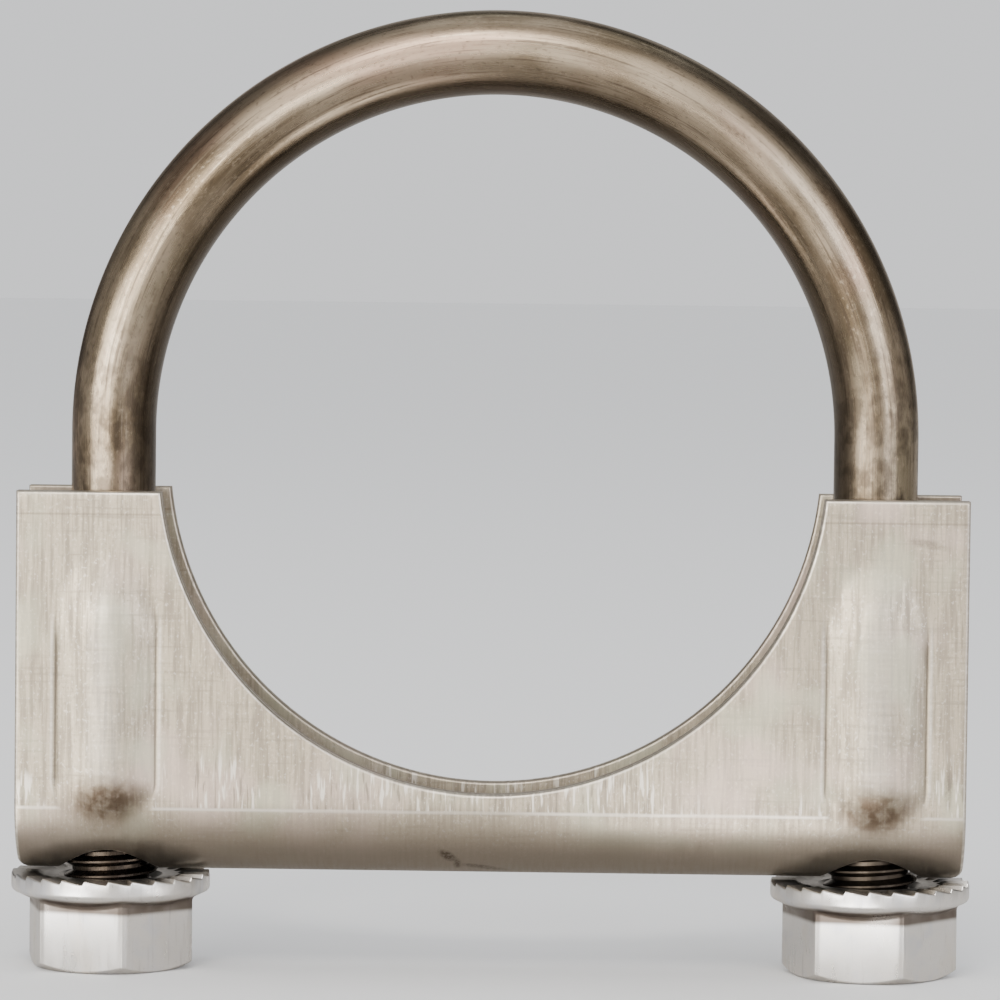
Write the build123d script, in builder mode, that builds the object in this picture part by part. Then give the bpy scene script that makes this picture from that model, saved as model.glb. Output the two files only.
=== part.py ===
from build123d import *
import math
import os

# U-bolt pipe clamp for a 57 mm (2-1/4 in) pipe, in millimetres.
# X runs across the legs, Y along the pipe and Z up the legs.
# The origin is on the axis of the saddle's pipe seat, half way through its depth.

# Bar of the U-bolt
bar_diameter = 7.1
bend_inner_radius = 28.6
bend_centre_z = 2.1
leg_end_z = -42.8
leg_end_chamfer = 0.7
leg_x = bend_inner_radius + bar_diameter / 2

# Rolled M8 thread on the legs, drawn as rings of the thread's true section
thread_pitch = 1.25
thread_crest_radius = 3.95
thread_root_radius = 3.26
thread_turns = 20
thread_crest_flat = thread_pitch / 8
thread_root_flat = thread_pitch / 4

# Sheet of the saddle, folded to a U channel
sheet_thickness = 2.0
channel_gap = 8.0
saddle_width = 79.5
saddle_top_z = -2.8
saddle_bottom_z = -34.9
seat_radius = 27.8
leg_hole_radius = 4.2
lower_corner_radius = 0.8
saddle_depth = channel_gap + 2 * sheet_thickness
fold_outer_radius = saddle_depth / 2
fold_inner_radius = channel_gap / 2
fold_centre_z = saddle_bottom_z + fold_outer_radius

# Pressed ribs over the legs
rib_width = 8.4
rib_height = 1.0
rib_top_z = -7.8
rib_bottom_z = -30.1
rib_side_angle = 35
rib_root = 0.5

# Serrated flange nuts
nut_across_flats = 13.0
nut_height = 8.0
nut_gap = 0.3
nut_bore_radius = 4.03
nut_chamfer_angle = 30
nut_bore_chamfer = 0.5
flange_radius = 8.4
flange_rim_height = 1.2
flange_cone_angle = 25
tooth_count = 26
tooth_height = 0.3
tooth_inner_radius = 5.6
tooth_edge_margin = 0.15
tooth_width_share = 0.8
left_nut_turn = -17.0
right_nut_turn = -10.4
nut_top_z = saddle_bottom_z - nut_gap
nut_bottom_z = nut_top_z - nut_height
nut_face_z = nut_top_z - tooth_height

os.makedirs("parts", exist_ok=True)


# ---------------------------------------------------------------- U-bolt bar
def thread_section(x, top_z, bottom_z):
    """Draws, inside an open BuildLine, half the section of one threaded leg end about its axis at x."""
    points = [(x, top_z), (x + bar_diameter / 2, top_z)]
    flank = (thread_pitch - thread_crest_flat - thread_root_flat) / 2
    z = top_z - thread_pitch / 2
    for _ in range(thread_turns):
        points.append((x + thread_root_radius, z))
        points.append((x + thread_root_radius, z - thread_root_flat))
        points.append((x + thread_crest_radius, z - thread_root_flat - flank))
        points.append((x + thread_crest_radius, z - thread_root_flat - flank - thread_crest_flat))
        z -= thread_pitch
    points.append((x + thread_root_radius, bottom_z + leg_end_chamfer))
    points.append((x + thread_root_radius - leg_end_chamfer / 2, bottom_z))
    points.append((x, bottom_z))
    Polyline(*points, close=True)


thread_top_z = leg_end_z + (thread_turns + 0.5) * thread_pitch + leg_end_chamfer

with BuildPart() as u_bolt:
    with BuildLine(Plane.XZ) as bar_path:
        Line((-leg_x, thread_top_z), (-leg_x, bend_centre_z))
        ThreePointArc((-leg_x, bend_centre_z), (0, bend_centre_z + leg_x), (leg_x, bend_centre_z))
        Line((leg_x, bend_centre_z), (leg_x, thread_top_z))
    with BuildSketch(Plane.XY.offset(thread_top_z)):
        with Locations((-leg_x, 0)):
            Circle(bar_diameter / 2)
    sweep(path=bar_path.wire())
    for side_x in (-leg_x, leg_x):
        with BuildSketch(Plane.XZ):
            with BuildLine():
                thread_section(side_x, thread_top_z, leg_end_z)
            make_face()
        revolve(axis=Axis((side_x, 0, 0), (0, 0, 1)))

u_bolt.part.label = "u_bolt"
export_step(u_bolt.part, "parts/u_bolt.step")


# ------------------------------------------------------------- Folded saddle
def rib_outline(width):
    """Draws, inside an open BuildSketch on an XZ plane, the upright slot of a rib on each leg."""
    height = rib_top_z - rib_bottom_z - (rib_width - width)
    with Locations((-leg_x, (rib_top_z + rib_bottom_z) / 2), (leg_x, (rib_top_z + rib_bottom_z) / 2)):
        SlotOverall(height, width, rotation=90)


rib_side_slope = math.tan(math.radians(rib_side_angle))
rib_root_width = rib_width + 2 * rib_root * rib_side_slope
rib_cavity_width = rib_width - 2 * sheet_thickness * math.tan(math.radians(rib_side_angle / 2))
rib_root_plane = Plane.XZ.offset(saddle_depth / 2 - rib_root)
inner_face_plane = Plane.XZ.offset(channel_gap / 2)

with BuildPart() as saddle:
    # The folded channel: two flat plates joined by a half-round fold
    with BuildSketch(Plane.YZ):
        with BuildLine():
            Line((-saddle_depth / 2, saddle_top_z), (-saddle_depth / 2, fold_centre_z))
            ThreePointArc(
                (-fold_outer_radius, fold_centre_z),
                (0, saddle_bottom_z),
                (fold_outer_radius, fold_centre_z),
            )
            Line((saddle_depth / 2, fold_centre_z), (saddle_depth / 2, saddle_top_z))
            Line((saddle_depth / 2, saddle_top_z), (channel_gap / 2, saddle_top_z))
            Line((channel_gap / 2, saddle_top_z), (channel_gap / 2, fold_centre_z))
            ThreePointArc(
                (fold_inner_radius, fold_centre_z),
                (0, saddle_bottom_z + sheet_thickness),
                (-fold_inner_radius, fold_centre_z),
            )
            Line((-channel_gap / 2, fold_centre_z), (-channel_gap / 2, saddle_top_z))
            Line((-channel_gap / 2, saddle_top_z), (-saddle_depth / 2, saddle_top_z))
        make_face()
    extrude(amount=saddle_width / 2, both=True)

    # The half-round pipe seat through both plates
    with BuildSketch(Plane.XZ):
        Circle(seat_radius)
    extrude(amount=saddle_depth, both=True, mode=Mode.SUBTRACT)

    # Small rounds on the lower outline at the two open ends
    end_arcs = saddle.edges().filter_by(GeomType.CIRCLE).filter_by(Plane.YZ)
    fillet(end_arcs.group_by(SortBy.RADIUS)[-1], radius=lower_corner_radius)

    # Ribs pressed outwards, each hollow on its inner side, on the front plate and mirrored to the back plate
    with BuildSketch(rib_root_plane):
        rib_outline(rib_root_width)
    extrude(amount=rib_root + rib_height, taper=rib_side_angle)
    with BuildSketch(inner_face_plane):
        rib_outline(rib_cavity_width)
    extrude(amount=rib_height, taper=rib_side_angle, mode=Mode.SUBTRACT)
    split(bisect_by=Plane.XZ, keep=Keep.TOP)
    mirror(about=Plane.XZ)

    # Leg holes through the fold
    with BuildSketch(Plane.XY.offset(saddle_bottom_z)):
        with Locations((-leg_x, 0), (leg_x, 0)):
            Circle(leg_hole_radius)
    extrude(amount=fold_outer_radius, mode=Mode.SUBTRACT)

saddle.part.label = "saddle"
export_step(saddle.part, "parts/saddle.step")


# --------------------------------------------------------------- Flange nuts
flange_cone_rise = flange_rim_height + (flange_radius - nut_across_flats / 2) * math.tan(
    math.radians(flange_cone_angle)
)
hex_corner_radius = nut_across_flats / math.sqrt(3)
hex_chamfer_rise = (hex_corner_radius - nut_across_flats / 2) * math.tan(math.radians(nut_chamfer_angle))
chamfer_tool_radius = hex_corner_radius + 1
tooth_base = tooth_width_share * 2 * math.pi * tooth_inner_radius / tooth_count
tooth_length = math.sqrt((flange_radius - tooth_edge_margin) ** 2 - tooth_base**2) - tooth_inner_radius


def tooth_planes(x, turn):
    """Gives one upright plane for each tooth, facing outwards from the axis of the nut at x."""
    planes = []
    for tooth in range(tooth_count):
        angle = math.radians(turn + tooth * 360 / tooth_count)
        outward = (math.cos(angle), math.sin(angle), 0)
        sideways = (-math.sin(angle), math.cos(angle), 0)
        start = (x + tooth_inner_radius * outward[0], tooth_inner_radius * outward[1], nut_face_z)
        planes.append(Plane(start, x_dir=sideways, z_dir=outward))
    return planes


def flange_nut(x, turn, name):
    """Makes one serrated flange nut on the leg at x, turned about its axis, and writes it."""
    nut_axis = Axis((x, 0, 0), (0, 0, 1))
    with BuildPart() as nut:
        # The hexagon, with its free end chamfered to a circle
        with BuildSketch(Plane.XY.offset(nut_bottom_z)):
            with Locations((x, 0)):
                RegularPolygon(nut_across_flats / 2, 6, major_radius=False, rotation=turn)
        extrude(amount=nut_height - tooth_height)
        with BuildSketch(Plane.XZ):
            with BuildLine():
                Polyline(
                    (x + nut_across_flats / 2, nut_bottom_z),
                    (x + chamfer_tool_radius, nut_bottom_z),
                    (x + chamfer_tool_radius, nut_bottom_z + hex_chamfer_rise),
                    (x + hex_corner_radius, nut_bottom_z + hex_chamfer_rise),
                    close=True,
                )
            make_face()
        revolve(axis=nut_axis, mode=Mode.SUBTRACT)

        # The coned flange at the bearing end
        with BuildSketch(Plane.XZ):
            with BuildLine():
                Polyline(
                    (x, nut_face_z),
                    (x + flange_radius, nut_face_z),
                    (x + flange_radius, nut_face_z - flange_rim_height),
                    (x + nut_across_flats / 2, nut_face_z - flange_cone_rise),
                    (x, nut_face_z - flange_cone_rise),
                    close=True,
                )
            make_face()
        revolve(axis=nut_axis)

        # Sawtooth serrations, each drawn upright at the inner radius and carried outwards
        with BuildSketch(*tooth_planes(x, turn)):
            with BuildLine():
                Polyline((0, 0), (tooth_base, 0), (0, tooth_height), close=True)
            make_face()
        extrude(amount=tooth_length)

        # The threaded bore, countersunk at the free end
        with BuildSketch(Plane.XY.offset(nut_bottom_z)):
            with Locations((x, 0)):
                Circle(nut_bore_radius)
        extrude(amount=nut_height, mode=Mode.SUBTRACT)
        bore_rim = nut.edges().filter_by(GeomType.CIRCLE).group_by(Axis.Z)[0].sort_by(SortBy.RADIUS)[0]
        chamfer(bore_rim, length=nut_bore_chamfer)
    nut.part.label = name
    export_step(nut.part, "parts/" + name + ".step")


flange_nut(-leg_x, left_nut_turn, "left_flange_nut")
flange_nut(leg_x, right_nut_turn, "right_flange_nut")
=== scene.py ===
"""Dresses a U-bolt pipe clamp: a drawn and bent bar, a folded sheet saddle and two serrated flange nuts."""

import logging
import math
from collections.abc import Sequence
from dataclasses import dataclass, field
from enum import Enum

import bmesh
import bpy
import numpy as np
from mathutils import Matrix, Vector


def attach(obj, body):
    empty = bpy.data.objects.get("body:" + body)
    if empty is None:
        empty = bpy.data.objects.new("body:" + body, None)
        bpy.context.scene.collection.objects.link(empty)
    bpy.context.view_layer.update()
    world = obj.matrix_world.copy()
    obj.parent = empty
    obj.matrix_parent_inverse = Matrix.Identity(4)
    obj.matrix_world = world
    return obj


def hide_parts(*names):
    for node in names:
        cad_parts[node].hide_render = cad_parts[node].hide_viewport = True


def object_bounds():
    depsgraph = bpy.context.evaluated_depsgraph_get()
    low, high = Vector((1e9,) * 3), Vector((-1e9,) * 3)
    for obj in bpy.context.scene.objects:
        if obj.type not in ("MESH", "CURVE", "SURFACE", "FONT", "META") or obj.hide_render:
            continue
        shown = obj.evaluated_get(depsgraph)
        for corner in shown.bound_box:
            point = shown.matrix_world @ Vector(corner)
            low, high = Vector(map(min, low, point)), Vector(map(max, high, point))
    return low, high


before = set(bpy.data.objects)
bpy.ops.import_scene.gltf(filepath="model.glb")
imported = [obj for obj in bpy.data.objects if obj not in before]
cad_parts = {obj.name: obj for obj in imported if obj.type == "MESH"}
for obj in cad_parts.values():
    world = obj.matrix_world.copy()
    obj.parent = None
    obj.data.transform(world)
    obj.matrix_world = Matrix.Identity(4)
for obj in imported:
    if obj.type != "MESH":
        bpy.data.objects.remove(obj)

CAD_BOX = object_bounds()
MM = 0.001
TURN = 2 * math.pi
WELD_MM = 0.0005
ANGLE_SLACK = 1e-9
MOST_SETBACK = 0.48
NOISE_ROUGHNESS = 0.55
SPOT_CORE = 0.3

log = logging.getLogger("u_bolt_clamp")

# A film on a metal: its pattern, the pattern's values where it starts and is full, its share and its colour
Layer = tuple[bpy.types.NodeSocket, float, float, float, str]


class Side(Enum):
    """The two legs of the clamp, by the sign of their X."""

    LEFT = -1
    RIGHT = 1


# ------------------------------------------------------------------ mesh tools
def ease(value: np.ndarray) -> np.ndarray:
    """Turns 0 to 1 into a curve that is level at both ends, three squares less two cubes."""
    kept = np.clip(value, 0.0, 1.0)
    return kept * kept * (3.0 - 2.0 * kept)


def eased_corners(corners: np.ndarray, setbacks: Sequence[float], steps: int) -> np.ndarray:
    """Rounds every inner corner of a bundle of polylines.

    Each corner becomes a quadratic curve that leaves the line one setback before the corner, is pulled
    towards the corner and meets the line again one setback after it. No setback takes up half of a line.

    Args:
        corners: The polylines' points, as corners x columns x 2.
        setbacks: The length cut off on each side of every inner corner.
        steps: How many short spans each curve has.

    Returns:
        The rounded polylines, as rows x columns x 2.
    """
    share = np.linspace(0.0, 1.0, steps + 1)[:, None, None]
    rows = [corners[:1]]
    for before, corner, after, setback in zip(corners[:-2], corners[1:-1], corners[2:], setbacks):
        back, ahead = before - corner, after - corner
        back_length = np.linalg.norm(back, axis=-1, keepdims=True)
        ahead_length = np.linalg.norm(ahead, axis=-1, keepdims=True)
        start = corner + back * np.minimum(setback / back_length, MOST_SETBACK)
        end = corner + ahead * np.minimum(setback / ahead_length, MOST_SETBACK)
        rows.append((1 - share) ** 2 * start + 2 * share * (1 - share) * corner + share**2 * end)
    rows.append(corners[-1:])
    return np.concatenate(rows)


class Skin:
    """Grid patches in millimetres that are welded into one closed mesh in metres."""

    def __init__(self, name: str) -> None:
        """Starts an empty skin.

        Args:
            name: The name of the finished piece.
        """
        self.name = name
        self.points: list[np.ndarray] = []
        self.quads: list[np.ndarray] = []
        self.values: dict[str, list[np.ndarray]] = {}
        self.count = 0

    def patch(self, grid: np.ndarray, **values: np.ndarray | float) -> None:
        """Adds a grid of points, with a quad between each four neighbours.

        Args:
            grid: The points, as rows x columns x 3.
            values: Attributes of the points, each one number, or rows x columns, or rows x columns x 3.
        """
        rows, columns = grid.shape[:2]
        corner = np.arange(rows * columns).reshape(rows, columns) + self.count
        ring = [corner[:-1, :-1], corner[:-1, 1:], corner[1:, 1:], corner[1:, :-1]]
        self.quads.append(np.stack(ring, axis=-1).reshape(-1, 4))
        self.points.append(grid.reshape(-1, 3))
        self.count += rows * columns
        for key, value in values.items():
            array = np.asarray(value, dtype=float)
            width = (3,) if array.ndim == 3 else ()
            full = np.broadcast_to(array, (rows, columns) + width)
            self.values.setdefault(key, []).append(full.reshape((-1,) + width))

    def weld(self, crease: float) -> bpy.types.Object:
        """Joins the patches along their shared lines and turns every face outwards.

        Args:
            crease: The angle in degrees from which an edge between two faces looks sharp.

        Returns:
            The piece, at the origin, with its place in its mesh.
        """
        mesh = bpy.data.meshes.new(self.name)
        points = np.concatenate(self.points) * MM
        quads = np.concatenate(self.quads)
        mesh.vertices.add(len(points))
        mesh.vertices.foreach_set("co", points.ravel())
        mesh.loops.add(quads.size)
        mesh.loops.foreach_set("vertex_index", quads.ravel())
        mesh.polygons.add(len(quads))
        mesh.polygons.foreach_set("loop_start", np.arange(0, quads.size, 4))
        mesh.update(calc_edges=True)
        for key, parts in self.values.items():
            array = np.concatenate(parts)
            kind, slot = ("FLOAT_VECTOR", "vector") if array.ndim == 2 else ("FLOAT", "value")
            mesh.attributes.new(key, kind, "POINT").data.foreach_set(slot, array.ravel())
        shell = bmesh.new()
        shell.from_mesh(mesh)
        bmesh.ops.remove_doubles(shell, verts=shell.verts, dist=WELD_MM * MM)
        bmesh.ops.recalc_face_normals(shell, faces=shell.faces)
        open_edges = sum(not edge.is_manifold for edge in shell.edges)
        shell.to_mesh(mesh)
        shell.free()
        mesh.shade_smooth()
        mesh.set_sharp_from_angle(angle=math.radians(crease))
        piece = bpy.data.objects.new(self.name, mesh)
        bpy.context.scene.collection.objects.link(piece)
        log.info("%s: %d faces, %d open edges", self.name, len(mesh.polygons), open_edges)
        return piece


# -------------------------------------------------------------- material tools
def linear(code: str) -> tuple[float, float, float, float]:
    """Turns an sRGB colour into linear light, by the sRGB curve with its straight foot.

    Args:
        code: The colour as a hex code, such as #8a7460.

    Returns:
        Its red, green and blue, and a full alpha.
    """
    parts = [int(code[place : place + 2], 16) / 255 for place in (1, 3, 5)]
    light = [part / 12.92 if part <= 0.04045 else ((part + 0.055) / 1.055) ** 2.4 for part in parts]
    return (light[0], light[1], light[2], 1.0)


def add_node(
    tree: bpy.types.NodeTree, kind: str, settings: dict | None = None, links: dict | None = None
) -> bpy.types.Node:
    """Adds a node with its settings and its links.

    Args:
        tree: The node tree that it goes into.
        kind: Blender's name of the node's type.
        settings: Values by property name, or by input name or number.
        links: Output sockets by the name or number of the input that they feed.

    Returns:
        The new node.
    """
    node = tree.nodes.new(kind)
    for key, value in (settings or {}).items():
        if isinstance(key, int) or key in node.inputs:
            node.inputs[key].default_value = value
        else:
            setattr(node, key, value)
    for key, source in (links or {}).items():
        tree.links.new(source, node.inputs[key])
    return node


@dataclass(frozen=True)
class Spot:
    """One long soft mark on the front of a piece."""

    centre_mm: tuple[float, float, float]
    half_size_mm: tuple[float, float, float]
    lean_degrees: float
    strength: float


class Recipe:
    """A metal's node tree in the making, with coordinates in millimetres."""

    def __init__(self, name: str) -> None:
        """Makes an empty material with one metal shader.

        Args:
            name: The name of the material.
        """
        self.material = bpy.data.materials.new(name)
        self.material.use_nodes = True
        self.tree = self.material.node_tree
        self.shader = self.tree.nodes["Principled BSDF"]
        self.shader.inputs["Metallic"].default_value = 1.0

    def place(self, scale: Sequence[float], attribute: str | None = None) -> bpy.types.NodeSocket:
        """Gives coordinates, as pattern cells for each millimetre along X, Y and Z.

        Args:
            scale: Pattern cells for each millimetre, along each axis.
            attribute: A vector attribute in millimetres, read in place of the object's own coordinates.

        Returns:
            The socket that feeds a texture.
        """
        if attribute:
            source = self.value(attribute, "Vector")
            size = tuple(scale)
        else:
            source = add_node(self.tree, "ShaderNodeTexCoord").outputs["Object"]
            size = tuple(step / MM for step in scale)
        return add_node(self.tree, "ShaderNodeMapping", {"Scale": size}, {"Vector": source}).outputs[0]

    def value(self, attribute: str, output: str = "Fac") -> bpy.types.NodeSocket:
        """Reads an attribute of the mesh."""
        return add_node(self.tree, "ShaderNodeAttribute", {"attribute_name": attribute}).outputs[output]

    def noise(
        self, scale: Sequence[float], detail: float, attribute: str | None = None
    ) -> bpy.types.NodeSocket:
        """Gives cloudy noise of 0 to 1, stretched along the axes where its scale is small.

        Args:
            scale: Cells for each millimetre, along each axis.
            detail: How many finer octaves lie on the clouds.
            attribute: A vector attribute in millimetres, read in place of the object's own coordinates.

        Returns:
            The socket with the noise.
        """
        settings = {"Scale": 1.0, "Detail": detail, "Roughness": NOISE_ROUGHNESS}
        links = {"Vector": self.place(scale, attribute)}
        return add_node(self.tree, "ShaderNodeTexNoise", settings, links).outputs[0]

    def axis(self, name: str, attribute: str | None = None) -> bpy.types.NodeSocket:
        """Gives one coordinate in millimetres, X, Y or Z."""
        links = {0: self.place((1.0, 1.0, 1.0), attribute)}
        return add_node(self.tree, "ShaderNodeSeparateXYZ", links=links).outputs[name]

    def line(self, source: bpy.types.NodeSocket, centre: float, half_width: float) -> bpy.types.NodeSocket:
        """Gives 1 where a number is at the centre, and falls softly to 0 at the half width from it."""
        away = self.math("ABSOLUTE", self.math("SUBTRACT", source, centre), 0.0)
        return self.remap(away, half_width, 0.0)

    def spot(self, spot: Spot) -> bpy.types.NodeSocket:
        """Draws one mark, which is full in its core and falls softly to nothing at its edge.

        Args:
            spot: The mark's place, size, lean and strength.

        Returns:
            The socket with the mark's strength.
        """
        source = add_node(self.tree, "ShaderNodeTexCoord").outputs["Object"]
        settings = {
            "vector_type": "TEXTURE",
            "Location": tuple(part * MM for part in spot.centre_mm),
            "Rotation": (0.0, math.radians(spot.lean_degrees), 0.0),
            "Scale": tuple(part * MM for part in spot.half_size_mm),
        }
        local = add_node(self.tree, "ShaderNodeMapping", settings, {"Vector": source}).outputs[0]
        length = add_node(self.tree, "ShaderNodeVectorMath", {"operation": "LENGTH"}, {0: local})
        return self.remap(length.outputs["Value"], 1.0, SPOT_CORE, 0.0, spot.strength)

    def remap(
        self,
        source: bpy.types.NodeSocket,
        low: float,
        high: float,
        to_low: float = 0.0,
        to_high: float = 1.0,
    ) -> bpy.types.NodeSocket:
        """Stretches the band from low to high over a new range, with soft ends."""
        settings = {1: low, 2: high, 3: to_low, 4: to_high, "interpolation_type": "SMOOTHSTEP"}
        return add_node(self.tree, "ShaderNodeMapRange", settings, {0: source}).outputs[0]

    def math(
        self, operation: str, first: bpy.types.NodeSocket, second: bpy.types.NodeSocket | float
    ) -> bpy.types.NodeSocket:
        """Works out one sum, product or other operation of two numbers.

        Args:
            operation: Blender's name of the operation.
            first: The first number.
            second: The second number, as a socket or as itself.

        Returns:
            The socket with the result.
        """
        if isinstance(second, (int, float)):
            settings, links = {"operation": operation, 1: second}, {0: first}
        else:
            settings, links = {"operation": operation}, {0: first, 1: second}
        return add_node(self.tree, "ShaderNodeMath", settings, links).outputs[0]

    def blend(
        self,
        share: bpy.types.NodeSocket,
        first: str | bpy.types.NodeSocket,
        second: str | bpy.types.NodeSocket,
    ) -> bpy.types.NodeSocket:
        """Mixes two colours.

        Args:
            share: How much of the second colour shows, 0 to 1.
            first: The colour underneath, as a hex code or a socket.
            second: The colour on top, likewise.

        Returns:
            The socket with the mixed colour.
        """
        node = add_node(self.tree, "ShaderNodeMix", {"data_type": "RGBA"}, {"Factor": share})
        for socket, colour in ((node.inputs[6], first), (node.inputs[7], second)):
            if isinstance(colour, str):
                socket.default_value = linear(colour)
            else:
                self.tree.links.new(colour, socket)
        return node.outputs[2]

    def layered(self, tone: str | bpy.types.NodeSocket, *layers: Layer) -> bpy.types.NodeSocket:
        """Lays films over a colour, one after the other.

        Args:
            tone: The colour underneath, as a hex code or a socket.
            layers: The films, the lowest first.

        Returns:
            The socket with the colour on top.
        """
        for pattern, start, full, share, colour in layers:
            tone = self.blend(self.remap(pattern, start, full, 0.0, share), tone, colour)
        return tone

    def relief(
        self, coarse: bpy.types.NodeSocket, fine: bpy.types.NodeSocket, share: float
    ) -> bpy.types.NodeSocket:
        """Adds up two reliefs, the coarse one by its share and the fine one by the rest."""
        weighed = self.math("MULTIPLY", fine, 1 - share)
        return self.math("ADD", self.math("MULTIPLY", coarse, share), weighed)

    def finish(
        self,
        colour: bpy.types.NodeSocket,
        roughness: bpy.types.NodeSocket,
        height: bpy.types.NodeSocket,
        depth_mm: float,
    ) -> bpy.types.Material:
        """Feeds the shader and closes the recipe.

        Args:
            colour: The metal's colour.
            roughness: The metal's roughness.
            height: The height of the surface's relief, 0 to 1.
            depth_mm: How deep the relief is.

        Returns:
            The finished material.
        """
        settings = {"Strength": 1.0, "Distance": depth_mm * MM}
        bump = add_node(self.tree, "ShaderNodeBump", settings, {"Height": height})
        self.tree.links.new(colour, self.shader.inputs["Base Color"])
        self.tree.links.new(roughness, self.shader.inputs["Roughness"])
        self.tree.links.new(bump.outputs[0], self.shader.inputs["Normal"])
        return self.material


# -------------------------------------------------------------------- finishes
@dataclass(frozen=True)
class DrawnBarSteel:
    """Cold drawn mild steel bar under a thin oil and oxide film.

    The die leaves fine streaks along the bar, so its highlight is a broken band and not a clean line. The
    film is brown where it is thick and grey where handling has worn it, and it is blotchy on the legs.
    The inside of the bend and of the legs is painted darker as shade, and the thread is darkened as oil
    and as painted shade.
    """

    film_brown: str = "#756753"
    rubbed_grey: str = "#b1a38f"
    deep_brown: str = "#5f5343"
    rose_tint: str = "#a98c7b"
    olive_tint: str = "#7f7a63"
    streak_dark: str = "#4d433a"
    inner_shade: str = "#3d352c"
    thread_oil_and_shade: str = "#3c3733"
    streak_width_mm: float = 0.30
    streak_length_mm: float = 9.0
    patch_mm: float = 7.0
    speck_mm: float = 0.28
    mottle_mm: float = 1.6
    mottle_share: float = 0.6
    leg_start_mm: float = 34.0
    leg_full_mm: float = 50.0
    inner_start_mm: float = 0.2
    inner_full_mm: float = -3.3
    inner_share: float = 0.85
    thread_start_mm: float = 68.0
    thread_full_mm: float = 70.0
    oil_and_shade_share: float = 0.85
    smoothest: float = 0.21
    roughest: float = 0.37
    relief_mm: float = 0.012

    def make(self) -> bpy.types.Material:
        """Builds the material on the bar's unbent coordinates, so the streaks follow the bend.

        Returns:
            The finished material.
        """
        recipe = Recipe("cold_drawn_steel_oxide_film")
        across, along = 1 / self.streak_width_mm, 1 / self.streak_length_mm
        patch, speck, blot = 1 / self.patch_mm, 1 / self.speck_mm, 1 / self.mottle_mm
        streaks = recipe.noise((along, across, across), 4.0, "unbent")
        wide = recipe.noise((0.5 * along, 0.25 * across, 0.25 * across), 2.0, "unbent")
        patches = recipe.noise((0.45 * patch, patch, patch), 3.0, "unbent")
        tints = recipe.noise((0.3 * patch, 0.8 * patch, 0.8 * patch), 2.0, "unbent")
        specks = recipe.noise((0.6 * speck, speck, speck), 2.0, "unbent")
        mottle = recipe.noise((blot, 1.4 * blot, 1.4 * blot), 4.0, "unbent")
        outward = recipe.axis("Y", "unbent")
        from_top = recipe.math("ABSOLUTE", recipe.axis("X", "unbent"), 0.0)

        tone = recipe.layered(
            self.film_brown,
            (patches, 0.34, 0.62, 1.0, self.rubbed_grey),
            (tints, 0.54, 0.70, 0.6, self.rose_tint),
            (tints, 0.46, 0.30, 0.6, self.olive_tint),
            (wide, 0.50, 0.70, 0.45, self.deep_brown),
            (streaks, 0.54, 0.70, 0.7, self.streak_dark),
            (streaks, 0.46, 0.30, 0.55, self.rubbed_grey),
            (specks, 0.56, 0.76, 0.45, self.streak_dark),
            (specks, 0.44, 0.26, 0.5, self.rubbed_grey),
        )
        on_leg = recipe.remap(from_top, self.leg_start_mm, self.leg_full_mm)
        blotted = recipe.remap(mottle, 0.42, 0.62, 0.0, self.mottle_share)
        tone = recipe.blend(recipe.math("MULTIPLY", on_leg, blotted), tone, self.streak_dark)
        tone = recipe.layered(
            tone,
            # Painted shade: the inside of the bend and of the legs is darkened
            (outward, self.inner_start_mm, self.inner_full_mm, self.inner_share, self.inner_shade),
            # The thread's oil, darkened further as painted shade
            (from_top, self.thread_start_mm, self.thread_full_mm, self.oil_and_shade_share, self.thread_oil_and_shade),
        )
        uneven = recipe.math("ADD", patches, streaks)
        rough = recipe.remap(uneven, 0.7, 1.35, self.smoothest, self.roughest)
        return recipe.finish(tone, rough, recipe.relief(streaks, specks, 0.7), self.relief_mm)


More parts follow.
